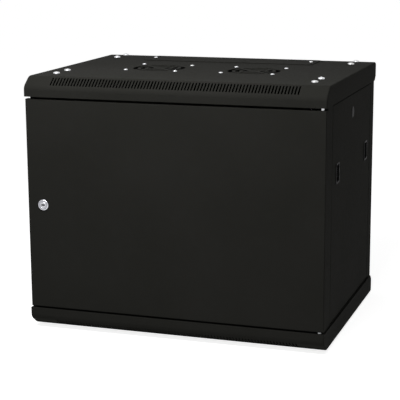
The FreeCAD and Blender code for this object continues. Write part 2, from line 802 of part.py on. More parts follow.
# ---- side panels and their latches -----------------------------------------------------------
def right_side_panel():
    """Sheet panel folded into a shallow tray, with two hooks under its lower edge."""
    face = body_half
    inner = face - panel_depth
    outer = box(inner, face, panel_front, panel_back, panel_low, panel_high)
    outer = round_edges(outer, door_edge_radius, lambda edge: edge.BoundBox.XMin > face - touch)
    hollow = box(inner - past, face - panel_sheet, panel_front + panel_sheet, panel_back - panel_sheet,
                 panel_low + panel_sheet, panel_high - panel_sheet)
    panel = outer.cut(hollow)
    hook_face = face - hook_setback
    hooks = [box(hook_face - 2 * panel_sheet, hook_face, y - hook_width / 2, y + hook_width / 2,
                 panel_low - hook_length, panel_low + panel_sheet) for y in hook_ys()]
    for hook in hooks:
        panel = panel.fuse(hook)
    behind = face - panel_sheet - past
    across = latch_cup_width / 2 + latch_wall
    up = latch_cup_height / 2 + latch_wall
    for y in latch_ys:
        panel = panel.cut(box(behind, face + past, y - across, y + across, latch_z - up, latch_z + up))
    plug_place = Vector(behind, window_middle_y, panel_high - plug_drop)
    panel = panel.cut(prism(plug_facets, plug_diameter, plug_place, X_AXIS, panel_sheet + 2 * past))
    return panel.removeSplitter()


def right_latch_housings():
    """Moulded finger cups let into the side panel, each with a slot for its slider's stem."""
    face = body_half
    housings = []
    for y in latch_ys:
        flange = box(face, face + latch_flange, y - latch_width / 2, y + latch_width / 2,
                     latch_z - latch_height / 2, latch_z + latch_height / 2)
        flange = cut_corners(flange, latch_corner, X_AXIS)
        half_width_y = latch_cup_width / 2
        half_height = latch_cup_height / 2
        shell = box(face - latch_depth, face, y - half_width_y - latch_wall, y + half_width_y + latch_wall,
                    latch_z - half_height - latch_wall, latch_z + half_height + latch_wall)
        cup = box(face - latch_depth + latch_wall, face + latch_flange + past, y - half_width_y,
                  y + half_width_y, latch_z - half_height, latch_z + half_height)
        slot = box(face - latch_depth - past, face, y - stem_reach(), y + stem_reach(),
                   latch_z - stem_height / 2 - seat, latch_z + stem_height / 2 + seat)
        housings.append(flange.fuse(shell).cut(cup).cut(slot).removeSplitter())
    return Part.makeCompound(housings)


def stem_reach():
    """Half the length of the slot that a latch's stem slides in."""
    return (latch_travel + thumb_width) / 2 + seat


def right_latch(end):
    """Slider of one latch: thumb pad, stem and tongue. end is -1 for the front latch, 1 for the rear."""
    face = body_half
    y = latch_ys[0] if end < 0 else latch_ys[1]
    rest_y = y - end * latch_travel / 2
    pad_low = face - latch_depth + latch_wall + seat
    half = thumb_width / 2
    pad = box(pad_low, face - thumb_setback, rest_y - half, rest_y + half, latch_z - thumb_height / 2,
              latch_z + thumb_height / 2)
    behind = face - latch_depth - seat
    stem = box(behind, pad_low, rest_y - half, rest_y + half,
               latch_z - stem_height / 2, latch_z + stem_height / 2)
    window_edge = (window_front + rebate) if end < 0 else (window_back - rebate)
    tip = window_edge - end * tongue_to_rebate
    tongue = box(behind - tongue_sheet, behind, tip, rest_y - end * half, latch_z - tongue_height / 2,
                 latch_z + tongue_height / 2)
    return pad.fuse(stem).fuse(tongue).removeSplitter()


def right_panel_plug():
    """Plug in the hole for the optional panel lock."""
    face = body_half
    centre = Vector(face, window_middle_y, panel_high - plug_drop)
    cap = prism(plug_facets, plug_diameter + 2 * plug_brim, centre, X_AXIS, plug_flange)
    stem = prism(plug_facets, plug_diameter, centre - X_AXIS * plug_depth, X_AXIS, plug_depth)
    return cap.fuse(stem).removeSplitter()


# ---- nodes -----------------------------------------------------------------------------------
def build():
    nodes = {
        "top_cover": top_cover(),
        "bottom_cover": bottom_cover(),
        "top_cover_bolts": top_cover_bolts(),
        "bottom_cover_bolts": bottom_cover_bolts(),
        "top_cable_entry_plate": top_entry_plate(),
        "rear_panel": rear_panel(),
        "door_panel": door_panel(),
        "door_stiffener": door_stiffener(),
        "door_buffers": door_buffers(),
        "hinge_washer": hinge_washer_ring(),
        "top_hinge_bracket": hinge_bracket(top_bracket_z(), bracket_length),
        "bottom_hinge_bracket": hinge_bracket(door_low + bottom_bracket_rise, -bottom_bracket_length),
        "top_hinge_pin": top_hinge_pin(),
        "bottom_hinge_pin": bottom_hinge_pin(),
        "lock_housing": lock_housing(),
        "lock_nut": lock_nut(),
        "lock_cylinder": lock_cylinder(),
        "lock_cam": lock_cam(),
        "lock_cam_screw": cam_screw(),
    }
    nodes["bottom_cable_entry_plate"] = upside_down(nodes["top_cable_entry_plate"])
    for side, x in zip(("left", "right"), fan_xs):
        nodes[side + "_fan_housing"] = fan_housing(x)
        nodes[side + "_fan_impeller"] = fan_impeller(x)

    right_side = {
        "side_frame": right_side_frame(),
        "side_panel": right_side_panel(),
        "latch_housings": right_latch_housings(),
        "front_latch": right_latch(-1),
        "rear_latch": right_latch(1),
        "panel_plug": right_panel_plug(),
    }
    for level, z in hat_zs.items():
        right_side[level + "_depth_rail"] = depth_rail(z)
    for place, (face_y, facing) in rack_rail_faces().items():
        right_side[place + "_rack_rail"] = rack_rail(face_y, facing)
    for name, shape in right_side.items():
        nodes["right_" + name] = shape
        nodes["left_" + name] = mirrored(shape)
    return nodes


os.makedirs("parts", exist_ok=True)
for name, shape in build().items():
    shape.exportStep("parts/" + name + ".step")
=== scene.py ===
"""A black sheet-steel wall cabinet for 19-inch equipment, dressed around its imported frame. Metres."""

import json
import math

import bmesh
import bpy
from mathutils import Matrix, Vector


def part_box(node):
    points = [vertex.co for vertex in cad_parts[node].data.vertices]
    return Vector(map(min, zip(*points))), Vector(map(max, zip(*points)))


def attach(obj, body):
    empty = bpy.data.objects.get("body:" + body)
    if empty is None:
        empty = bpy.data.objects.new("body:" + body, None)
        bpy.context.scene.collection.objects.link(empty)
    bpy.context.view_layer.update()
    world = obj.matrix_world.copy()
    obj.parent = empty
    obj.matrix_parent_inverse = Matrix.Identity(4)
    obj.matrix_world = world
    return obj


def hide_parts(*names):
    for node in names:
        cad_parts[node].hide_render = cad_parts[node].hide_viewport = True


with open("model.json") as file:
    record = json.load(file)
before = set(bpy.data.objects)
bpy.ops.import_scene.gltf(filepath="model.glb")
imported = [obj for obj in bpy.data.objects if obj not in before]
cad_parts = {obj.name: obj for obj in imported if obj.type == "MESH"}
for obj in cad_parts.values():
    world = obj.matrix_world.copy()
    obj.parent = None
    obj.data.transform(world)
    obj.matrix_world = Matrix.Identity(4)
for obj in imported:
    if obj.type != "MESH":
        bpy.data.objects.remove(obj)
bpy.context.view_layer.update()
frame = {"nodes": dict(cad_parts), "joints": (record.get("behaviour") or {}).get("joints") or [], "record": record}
nodes = frame["nodes"]

X_AXIS = Vector((1, 0, 0))
Y_AXIS = Vector((0, 1, 0))
Z_AXIS = Vector((0, 0, 1))
SIDES = {"left": -1, "right": 1}

# ---- covers ------------------------------------------------------------------------------------
COVER_SHEET = 0.0012
BEVEL_RISE = 0.018
BEVEL_RUN = 0.024
LOWER_BEND = 0.016
UPPER_BEND = 0.020
REAR_BEND = 0.007
COVER_EDGE = 0.003              # radius of the pressing's side edges
REAR_CHAMFER = 0.012
LIP_RETURN = 0.017
VENT_COUNT = 80
VENT_PITCH = 0.0062
VENT_WIDTH = 0.003
VENT_LENGTH = 0.0215
VENT_MIDDLE = 0.0158            # up the bevel from its fold at the lip
DOOR_STOP = 0.006               # fold along the flange's edge, behind the door
DOOR_STOP_SHEET = 0.001
DOOR_STOP_SHORT = 0.006         # from the cover's side at the lock
HINGE_CLEAR = 0.024             # from the hinge pin's axis to the stop's end
GRILLE_WEB = 0.007
GRILLE_WEBS = 4
GRILLE_RINGS = 3
GRILLE_FIRST = 0.014
GRILLE_PITCH = 0.015
GRILLE_SLOT = 0.009
ENTRY_SIZE = (0.300, 0.055)
PIN_HOLE = 0.0031               # radius
CUT_REACH = 0.01                # how far cutters run past what they cut

# ---- screws: head's diameter and height, shank's diameter and length ---------------------------
BIG_HEAD = (0.013, 0.0040, 0.006, 0.012)
SMALL_HEAD = (0.0080, 0.0024, 0.004, 0.003)
MIDDLE_HEAD = (0.0110, 0.0035, 0.006, 0.005)
SHANK_CHAMFER = 0.0003
FAN_SCREW_SPACING = 0.105
ENTRY_SCREW_SPACING = 0.346
RACK_RAIL_FLANGE = 0.0315
RACK_RAIL_SHEET = 0.002
DEPTH_RAIL_SHEET = 0.0015
DEPTH_RAIL_SCREW = (0.009, 0.0075)      # from a depth rail's end and from its brim's edge
REAR_FLANGE = 0.0015
REAR_SCREW_INSET = 0.0115
REAR_SCREW_SPREAD = 0.36        # share of the rear panel's height, from the middle row to the outer ones

# ---- lock and hinge ----------------------------------------------------------------------------
LOCK_BARREL = 0.0089            # radii
LOCK_BORE = 0.0061
PLUG_RADIUS = 0.0059
KEYWAY = (0.0074, 0.0030)       # across and up, while the door is unlocked
KEYWAY_SHADE_HALF = 0.0004           # half the thickness of the black slab in it, which is painted shade standing for the keyway's dark depth
DRIVE_SQUARE = 0.0035           # half the plug's square end
FIT = 0.00002
BUSH_BORE = 0.0031
BUSH_RADIUS = 0.0042

# ---- side panels' latches and plugs ------------------------------------------------------------
LATCH_FLANGE = (0.028, 0.040)
LATCH_CUP = (0.021, 0.033)
LATCH_SLOT = (0.0176, 0.0086)
LATCH_WALL = 0.0015
FLANGE_CORNER = 0.005
WELL_CORNER = 0.003
CUP_CORNER = 0.0022
SLOT_CORNER = 0.0008
THUMB = (0.009, 0.022)
THUMB_CORNER = 0.0015
GRIP_RIBS = 5
GRIP_RIB_HEIGHT = 0.0012
GRIP_RIB_WIDTH = 0.0012
STEM_HALF = 0.004
TONGUE_HALF = 0.007
TONGUE_SHEET = 0.002
SLIDE_GAP = 0.0003
PLUG_SHANK = 0.0088             # radius of the panel plug's shank
PLUG_DEPTH = 0.005

# ---- fans --------------------------------------------------------------------------------------
FAN_BORE = 0.0575               # radius of the duct
FAN_WALL = 0.0598
FAN_CORNER = 0.0815             # reach of the housing's rounded corners
FAN_FLANGE = 0.004
FAN_POST = 0.0042               # radius of the corner bosses
FAN_STRUT_HALF = 0.0025
FAN_HUB = 0.019
FAN_TIP = 0.0553
FAN_BLADES = 7
BLADE_SHEET = 0.0018
BLADE_SINK = 0.0008             # how far a blade's root runs into the hub
BLADE_BOW = 0.0018
BLADE_SWEEP = 0.30              # radians from root to tip

# ---- floor, light and camera -------------------------------------------------------------------
FLOOR_HALF = 12.0
WHITE_RAYS = ("Is Camera Ray", "Is Glossy Ray", "Is Transmission Ray")
FLOOR_PAINT = (0.80, 0.80, 0.80, 1)
FLOOR_LIFT = 0.84
WORLD_FILL = 0.2
CAMERA_LENS = 116.74
CAMERA_TURN = (18.635, 12.154, -0.337)    # azimuth, elevation, roll in degrees
CAMERA_PLACE = (0.8185, -2.4782, 0.7962)


# ---- node trees --------------------------------------------------------------------------------
def feed(socket, value):
    """Link a socket to another one, or set its value."""
    if isinstance(value, bpy.types.NodeSocket):
        socket.id_data.links.new(value, socket)
    else:
        socket.default_value = value


def wired(tree, kind, output, inputs, **settings):
    """A new node's named output. inputs says what each of its sockets is fed with."""
    node = tree.nodes.new(kind)
    for name, value in settings.items():
        setattr(node, name, value)
    for name, value in inputs.items():
        feed(node.inputs[name], value)
    return node.outputs[output]


class Nodes:
    """A material's tree, with a short call for each kind of node that the finishes need."""

    def __init__(self, name):
        self.material = bpy.data.materials.new(name)
        self.material.use_nodes = True
        self.tree = self.material.node_tree
        self.shader = self.tree.nodes["Principled BSDF"]
        self.place = self.tree.nodes.new("ShaderNodeTexCoord").outputs["Object"]

    def noise(self, scale, detail=3.0, roughness=0.5, place=None):
        return wired(self.tree, "ShaderNodeTexNoise", "Fac", {
            "Vector": place or self.place, "Scale": scale, "Detail": detail, "Roughness": roughness})

    def stretched(self, scale):
        """Object coordinates scaled along each axis, for brushed or drawn marks."""
        return wired(self.tree, "ShaderNodeMapping", "Vector", {"Vector": self.place, "Scale": scale})

    def spread(self, value, low, high, to_low, to_high):
        return wired(self.tree, "ShaderNodeMapRange", "Result", {
            "Value": value, "From Min": low, "From Max": high, "To Min": to_low, "To Max": to_high})

    def blend(self, factor, first, second):
        return wired(self.tree, "ShaderNodeMix", "Result", {"Factor": factor, "A": first, "B": second},
                     data_type="RGBA")

    def bump(self, height, strength, distance):
        self.set(Normal=wired(self.tree, "ShaderNodeBump", "Normal", {
            "Height": height, "Strength": strength, "Distance": distance}))

    def set(self, **values):
        for name, value in values.items():
            feed(self.shader.inputs[name.replace("_", " ")], value)


def grey(level, warm=0.0):
    """A linear colour close to neutral."""
    return (level * (1 + warm), level, level * (1 - warm), 1)


def black_powder_coat():
    """Satin black powder coat: fine orange peel, faint cloudiness and a little dust."""
    n = Nodes("black_powder_coat")
    cloud = n.noise(6.0, 4.0)
    grain = n.noise(1400.0, 2.0)
    dust = n.spread(n.noise(55.0, 6.0, 0.7), 0.5, 0.8, 0.0, 0.2)
    dark, light = (0.0177, 0.0177, 0.0156, 1), (0.0203, 0.0201, 0.0181, 1)
    tone = n.blend(n.spread(cloud, 0.3, 0.7, 0.0, 1.0), dark, light)
    n.set(Base_Color=n.blend(dust, tone, (0.0285, 0.0283, 0.0270, 1)))
    n.set(Roughness=n.spread(n.noise(180.0, 3.0), 0.3, 0.7, 0.50, 0.60))
    n.set(Specular_IOR_Level=0.0015)
    n.bump(grain, 0.2, 0.00010)
    return n.material


def bright_zinc():
    """Bright zinc plating on turned and pressed steel."""
    n = Nodes("bright_zinc")
    cloud = n.noise(90.0, 4.0)
    n.set(Base_Color=n.blend(n.spread(cloud, 0.35, 0.65, 0.0, 1.0), grey(0.58), (0.70, 0.71, 0.74, 1)))
    n.set(Roughness=n.spread(n.noise(260.0, 4.0), 0.3, 0.7, 0.22, 0.36))
    n.set(Metallic=1.0)
    n.bump(n.noise(1200.0, 3.0), 0.12, 0.00006)
    return n.material


def rail_zinc():
    """Duller galvanised sheet with a soft spangle."""
    n = Nodes("rail_zinc")
    spangle = wired(n.tree, "ShaderNodeTexVoronoi", "Color", {"Vector": n.place, "Scale": 130.0})
    n.set(Base_Color=n.blend(0.12, n.blend(n.noise(14.0, 3.0), grey(0.42), grey(0.52)), spangle))
    n.set(Roughness=n.spread(n.noise(60.0, 4.0), 0.3, 0.7, 0.38, 0.52))
    n.set(Metallic=1.0)
    n.bump(n.noise(700.0, 3.0), 0.1, 0.00008)
    return n.material


def polished_chrome():
    """Chrome plate with faint turning marks and fine handling scratches."""
    n = Nodes("polished_chrome")
    fine = n.noise(1.0, 3.0, 0.6, n.stretched((900.0, 40.0, 900.0)))
    n.set(Base_Color=n.blend(n.noise(120.0, 3.0), (0.44, 0.44, 0.47, 1), (0.56, 0.56, 0.59, 1)))
    n.set(Roughness=n.spread(fine, 0.3, 0.7, 0.14, 0.26))
    n.set(Metallic=1.0)
    n.bump(fine, 0.08, 0.00005)
    return n.material


def moulded_black():
    """Black moulded plastic with a spark-eroded texture."""
    n = Nodes("moulded_black")
    n.set(Base_Color=n.blend(n.noise(30.0, 4.0), grey(0.010), grey(0.014)))
    n.set(Roughness=n.spread(n.noise(220.0, 4.0), 0.3, 0.7, 0.46, 0.60))
    n.set(Specular_IOR_Level=0.03)
    n.bump(n.noise(2200.0, 2.0), 0.3, 0.00010)
    return n.material


def soft_rubber():
    """Matt black rubber."""
    n = Nodes("soft_rubber")
    n.set(Base_Color=n.blend(n.noise(60.0, 4.0), grey(0.012), grey(0.020)))
    n.set(Roughness=n.spread(n.noise(200.0, 3.0), 0.3, 0.7, 0.75, 0.88))
    n.bump(n.noise(1500.0, 3.0), 0.3, 0.0001)
    return n.material


FINISHES = {
    "black_powder_coat": black_powder_coat(),
    "zinc": bright_zinc(),
    "rail_zinc": rail_zinc(),
    "chrome": polished_chrome(),
    "black_plastic": moulded_black(),
    "rubber": soft_rubber(),
}


def finish_of(node):
    """The finish of a node that stays as the frame has it."""
    if "rail" in node:
        return FINISHES["rail_zinc"]
    slots = {part["node"]: part["material_slot"] for part in frame["record"]["subparts"]}
    return FINISHES[slots[node]]


def dress_frame():
    """Give every node of the frame its finish."""
    for name, node in nodes.items():
        node.data.materials.clear()
        node.data.materials.append(finish_of(name))


# ---- meshes ------------------------------------------------------------------------------------
def placed(name, data):
    """An object in the scene for a mesh, a lamp or a camera."""
    thing = bpy.data.objects.new(name, data)
    bpy.context.collection.objects.link(thing)
    return thing


def mesh_object(name, build, finish):
    """An object whose mesh build(bmesh) fills."""
    shape = bmesh.new()
    build(shape)
    bmesh.ops.remove_doubles(shape, verts=shape.verts, dist=1e-7)
    bmesh.ops.recalc_face_normals(shape, faces=shape.faces)
    mesh = bpy.data.meshes.new(name)
    shape.to_mesh(mesh)
    shape.free()
    return linked(name, mesh, finish)


def linked(name, mesh, finish):
    """An object in the scene with a mesh and its one finish."""
    mesh.materials.clear()
    mesh.materials.append(FINISHES[finish])
    return placed(name, mesh)


def baked(thing):
    """The object with its modifiers turned into plain mesh."""
    bpy.context.view_layer.update()
    graph = bpy.context.evaluated_depsgraph_get()
    mesh = bpy.data.meshes.new_from_object(thing.evaluated_get(graph))
    thing.modifiers.clear()
    thing.data = mesh
    return thing


def joined(name, pieces):
    """Several objects' meshes as one object, with the first one's finish."""
    shape = bmesh.new()
    for piece in pieces:
        shape.from_mesh(piece.data)
    mesh = pieces[0].data.copy()
    shape.to_mesh(mesh)
    shape.free()
    for piece in pieces:
        bpy.data.objects.remove(piece)
    mesh.name = name
    return placed(name, mesh)


def smooth(thing, degrees=30.0):
    """Shade smoothly, with edges sharper than the angle kept sharp."""
    thing.data.shade_smooth()
    thing.data.set_sharp_from_angle(angle=math.radians(degrees))
    return thing


def spun(name, profile, finish, origin, axis, steps=48):
    """A turned piece. profile lists (radius, height) in order round its section."""
    def build(shape):
        rings = []
        for radius, height in profile:
            count = 1 if radius == 0 else steps
            rings.append([shape.verts.new((radius * math.cos(2 * math.pi * i / steps),
                                           radius * math.sin(2 * math.pi * i / steps), height))
                          for i in range(count)])
        for low, high in zip(rings, rings[1:]):
            for i in range(steps):
                j = (i + 1) % steps
                corners = [low[i % len(low)], low[j % len(low)], high[j % len(high)], high[i % len(high)]]
                unique = list(dict.fromkeys(corners))
                if len(unique) > 2:
                    shape.faces.new(unique)
        turn = Z_AXIS.rotation_difference(Vector(axis)).to_matrix().to_4x4()
        shape.transform(Matrix.Translation(Vector(origin)) @ turn)
    return smooth(mesh_object(name, build, finish))


# ---- covers ------------------------------------------------------------------------------------
cover_low, cover_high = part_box("top_cover")
FRONT, SKIRT = cover_low[1:]
HALF_WIDTH, BACK, ROOF = cover_high
MIDDLE = (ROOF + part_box("bottom_cover")[0][2]) / 2
SLOPE = math.atan2(BEVEL_RISE, BEVEL_RUN)
HINGE = Vector(next(joint["pos_m"] for joint in frame["joints"] if joint["name"] == "door_hinge"))


def middle_of(node):
    """The middle of a node's box."""
    low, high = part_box(node)
    return [(low[k] + high[k]) / 2 for k in range(3)]


FAN_CENTRES = [middle_of(side + "_fan_housing")[:2] for side in SIDES]
ENTRY_Y = middle_of("top_cable_entry_plate")[1]


def bend(corner, before, after, radius, steps):
    """Points of the arc that rounds a corner of a profile."""
    corner, before, after = Vector(corner), Vector(before), Vector(after)
    into = (before - corner).normalized()
    out = (after - corner).normalized()
    half = into.angle(out) / 2
    if radius < 1e-6:
        return [corner] * (steps + 1)
    centre = corner + (into + out).normalized() * radius / math.sin(half)
    start = corner + into * radius / math.tan(half) - centre
    end = corner + out * radius / math.tan(half) - centre
    turn = start.angle(end)
    return [centre + (start * math.sin(turn * (1 - t)) + end * math.sin(turn * t)) / math.sin(turn)
            for t in (i / steps for i in range(steps + 1))]


def cover_profile(inset):
    """The cover's section, as (y, z) from the front skirt over the roof to the rear skirt."""
    lip = FRONT + inset
    crown = ROOF - inset
    wall = BACK - inset
    lip_top = ROOF - BEVEL_RISE - inset * math.tan(math.pi / 4 - SLOPE / 2)
    bevel_end = FRONT + BEVEL_RUN + inset * math.tan(SLOPE / 2)
    wall_end = SKIRT + REAR_CHAMFER - inset
    corners = [(lip, SKIRT), (lip, lip_top), (bevel_end, crown), (wall, crown), (wall, wall_end)]
    points = [Vector(corners[0])]
    for index, radius, steps in ((1, LOWER_BEND, 8), (2, UPPER_BEND, 14), (3, REAR_BEND, 8)):
        points += bend(corners[index], corners[index - 1], corners[index + 1], radius - inset, steps)
    return points + [Vector(corners[-1])]


def cover_skin(shape):
    """The outer face of the pressing, rounded at its side edges."""
    columns = []
    steps = 6
    for side in (-1, 1):
        for step in range(steps + 1):
            turn = math.pi / 2 * (steps - step if side < 0 else step) / steps
            x = side * (HALF_WIDTH - COVER_EDGE * (1 - math.sin(turn)))
            inset = COVER_EDGE * (1 - math.cos(turn))
            columns.append([shape.verts.new((x, y, z)) for y, z in cover_profile(inset)])
    for left, right in zip(columns, columns[1:]):
        for i in range(len(left) - 1):
            shape.faces.new((left[i], right[i], right[i + 1], left[i + 1]))
    for column in (columns[0], columns[-1]):
        x = column[0].co.x
        shape.faces.new(column + [shape.verts.new((x, BACK - REAR_CHAMFER, SKIRT))])


def block(shape, low, high):
    """A box between two corners."""
    size = Vector(high) - Vector(low)
    middle = (Vector(high) + Vector(low)) / 2
    place = Matrix.Translation(middle) @ Matrix.Diagonal((size.x, size.y, size.z, 1))
    return bmesh.ops.create_cube(shape, size=1, matrix=place)["verts"]


# ---- punched holes -----------------------------------------------------------------------------
def socket_ids(tree):
    return {item.name: item.identifier for item in tree.interface.items_tree
            if item.item_type == "SOCKET" and item.in_out == "INPUT"}


def new_tree(name, inputs):
    """A geometry tree with a geometry input and output and the named sizes."""
    tree = bpy.data.node_groups.new(name, "GeometryNodeTree")
    tree.interface.new_socket("Geometry", in_out="OUTPUT", socket_type="NodeSocketGeometry")
    tree.interface.new_socket("Geometry", in_out="INPUT", socket_type="NodeSocketGeometry")
    for label, kind in inputs:
        tree.interface.new_socket(label, in_out="INPUT", socket_type="NodeSocket" + kind)
    return tree, tree.nodes.new("NodeGroupInput"), tree.nodes.new("NodeGroupOutput")


def with_tree(thing, tree, values):
    """Put a tree on an object, with its named inputs set, and bake it."""
    modifier = thing.modifiers.new(tree.name, "NODES")
    modifier.node_group = tree
    ids = socket_ids(tree)
    for label, value in values.items():
        modifier[ids[label]] = value
    return baked(thing)


def vent_row_tree():
    """Punches a row of slots along X through a sloping face."""
    tree, given, result = new_tree("vent_row", (
        ("Count", "Int"), ("Pitch", "Float"), ("Size", "Vector"), ("Centre", "Vector"), ("Tilt", "Vector"),
        ("Finish", "Material")))
    sizes = given.outputs
    gaps = wired(tree, "ShaderNodeMath", 0, {0: sizes["Count"], 1: 1.0}, operation="SUBTRACT")
    length = wired(tree, "ShaderNodeMath", 0, {0: gaps, 1: sizes["Pitch"]}, operation="MULTIPLY")
    first = wired(tree, "ShaderNodeMath", 0, {0: length, 1: -0.5}, operation="MULTIPLY")
    start = wired(tree, "ShaderNodeCombineXYZ", 0, {"X": first})
    step = wired(tree, "ShaderNodeCombineXYZ", 0, {"X": sizes["Pitch"]})
    line = wired(tree, "GeometryNodeMeshLine", "Mesh", {
        "Count": sizes["Count"], "Start Location": start, "Offset": step})
    moved = wired(tree, "GeometryNodeTransform", "Geometry", {
        "Geometry": line, "Translation": sizes["Centre"]})
    cutter = wired(tree, "GeometryNodeMeshCube", "Mesh", {"Size": sizes["Size"]})
    turn = wired(tree, "FunctionNodeEulerToRotation", "Rotation", {"Euler": sizes["Tilt"]})
    row = wired(tree, "GeometryNodeInstanceOnPoints", "Instances", {
        "Points": moved, "Instance": cutter, "Rotation": turn})
    real = wired(tree, "GeometryNodeRealizeInstances", "Geometry", {"Geometry": row})
    holed = wired(tree, "GeometryNodeMeshBoolean", "Mesh", {"Mesh 1": sizes["Geometry"], "Mesh 2": real},
                  operation="DIFFERENCE", solver="EXACT")
    coated = wired(tree, "GeometryNodeSetMaterial", "Geometry", {
        "Geometry": holed, "Material": sizes["Finish"]})
    tree.links.new(coated, result.inputs["Geometry"])
    return tree


def grille_slots(shape, centre_x, centre_y, rings, webs, low, high):
    """Ring-shaped slots between webs, as closed cutters from low to high."""
    steps = 12
    for inner, outer in rings:
        for web in range(webs):
            gap = GRILLE_WEB / 2
            middle = 2 * math.pi * (web + 0.5) / webs + math.pi / 4
            corners = []
            for radius, way in ((inner, 1), (outer, -1)):
                half = math.pi / webs - math.asin(gap / radius)
                for step in range(steps + 1):
                    angle = middle + way * half * (2 * step / steps - 1)
                    corners.append((centre_x + radius * math.cos(angle), centre_y + radius * math.sin(angle)))
            loops = [[shape.verts.new((x, y, z)) for x, y in corners] for z in (low, high)]
            shape.faces.new(loops[0])
            shape.faces.new(loops[1])
            for i in range(len(corners)):
                j = (i + 1) % len(corners)
                shape.faces.new((loops[0][i], loops[0][j], loops[1][j], loops[1][i]))


def punched(thing, build):
    """Cut closed cutters, which build(bmesh) makes, out of an object."""
    cutters = mesh_object("cutters", build, "black_powder_coat")
    cut = thing.modifiers.new("cut", "BOOLEAN")
    cut.operation = "DIFFERENCE"
    cut.solver = "EXACT"
    cut.object = cutters
    baked(thing)
    bpy.data.objects.remove(cutters)
    return thing


def cover_flange(shape):
    """The lip's flange, turned back over the door's edge."""
    reach = HALF_WIDTH - COVER_SHEET
    block(shape, (-reach, FRONT + COVER_SHEET, SKIRT), (reach, FRONT + LIP_RETURN, SKIRT + COVER_SHEET))


def door_stop(shape):
    """A short fold behind the door's edge, which closes the view through the gap."""
    fold = FRONT + LIP_RETURN
    block(shape, (-(HALF_WIDTH - DOOR_STOP_SHORT), fold, SKIRT - DOOR_STOP),
          (HINGE.x - HINGE_CLEAR, fold + DOOR_STOP_SHEET, SKIRT + COVER_SHEET))


def entry_cutter(shape):
    """The cable entry, punched in the flat of a cover."""
    half_x, half_y = ENTRY_SIZE[0] / 2, ENTRY_SIZE[1] / 2
    block(shape, (-half_x, ENTRY_Y - half_y, ROOF - CUT_REACH), (half_x, ENTRY_Y + half_y, ROOF + CUT_REACH))


def pin_hole(shape):
    """The hinge pin's hole in the flange."""
    pin = Matrix.Translation((HINGE.x, HINGE.y, SKIRT))
    bmesh.ops.create_cone(shape, cap_ends=True, segments=24, radius1=PIN_HOLE, radius2=PIN_HOLE,
                          depth=CUT_REACH, matrix=pin)


def cover_pressing(name, vents, with_grilles):
    """One cover, as it lies on the roof: its skin, with the vents and grilles punched, and its flange."""
    skin = mesh_object(name, cover_skin, "black_powder_coat")
    sheet = skin.modifiers.new("sheet", "SOLIDIFY")
    sheet.thickness = COVER_SHEET
    sheet.offset = -1
    sheet.use_even_offset = True
    baked(skin)
    centre_y = FRONT + VENT_MIDDLE * math.cos(SLOPE)
    centre_z = ROOF - BEVEL_RISE + VENT_MIDDLE * math.sin(SLOPE)
    with_tree(skin, vents, {
        "Count": VENT_COUNT, "Pitch": VENT_PITCH, "Size": (VENT_WIDTH, VENT_LENGTH, 4 * COVER_SHEET),
        "Centre": (0, centre_y, centre_z), "Tilt": (SLOPE, 0, 0), "Finish": FINISHES["black_powder_coat"]})
    inner_edges = [GRILLE_FIRST + i * GRILLE_PITCH for i in range(GRILLE_RINGS)]
    rings = [(edge, edge + GRILLE_SLOT) for edge in inner_edges]

    def cutters(shape):
        entry_cutter(shape)
        if with_grilles:
            for x, y in FAN_CENTRES:
                grille_slots(shape, x, y, rings, GRILLE_WEBS, ROOF - CUT_REACH, ROOF + CUT_REACH)

    punched(skin, cutters)
    flange = punched(mesh_object("flange", cover_flange, "black_powder_coat"), pin_hole)
    stop = mesh_object("door_stop", door_stop, "black_powder_coat")
    return joined(name, [skin, flange, stop])


def turned_under(thing):
    """Mirror a piece's mesh about the cabinet's middle height, with its faces kept pointing out."""
    for vertex in thing.data.vertices:
        vertex.co.z = 2 * MIDDLE - vertex.co.z
    thing.data.flip_normals()
    return thing


def edge_rounded(thing, width, segments=2, degrees=40.0):
    """Give every sharp edge a small radius. It stays a modifier until the object is baked."""
    bevel = thing.modifiers.new("edges", "BEVEL")
    bevel.width = width
    bevel.segments = segments
    bevel.limit_method = "ANGLE"
    bevel.angle_limit = math.radians(degrees)
    bevel.use_clamp_overlap = True
    bevel.harden_normals = False
    return thing


def even_faces(thing):
    """Shade by face area, so that flats stay flat beside bends."""
    smooth(thing, 35.0)
    weighted = thing.modifiers.new("shading", "WEIGHTED_NORMAL")
    weighted.keep_sharp = True
    return baked(thing)


def covers():
    """The top and bottom covers, in place of the frame's."""
    vents = vent_row_tree()
    for name, with_grilles in (("top_cover", True), ("bottom_cover", False)):
        cover = cover_pressing(name + "_pressing", vents, with_grilles)
        if name == "bottom_cover":
            turned_under(cover)
        even_faces(cover)
        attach(cover, "carcass")
        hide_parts(name)


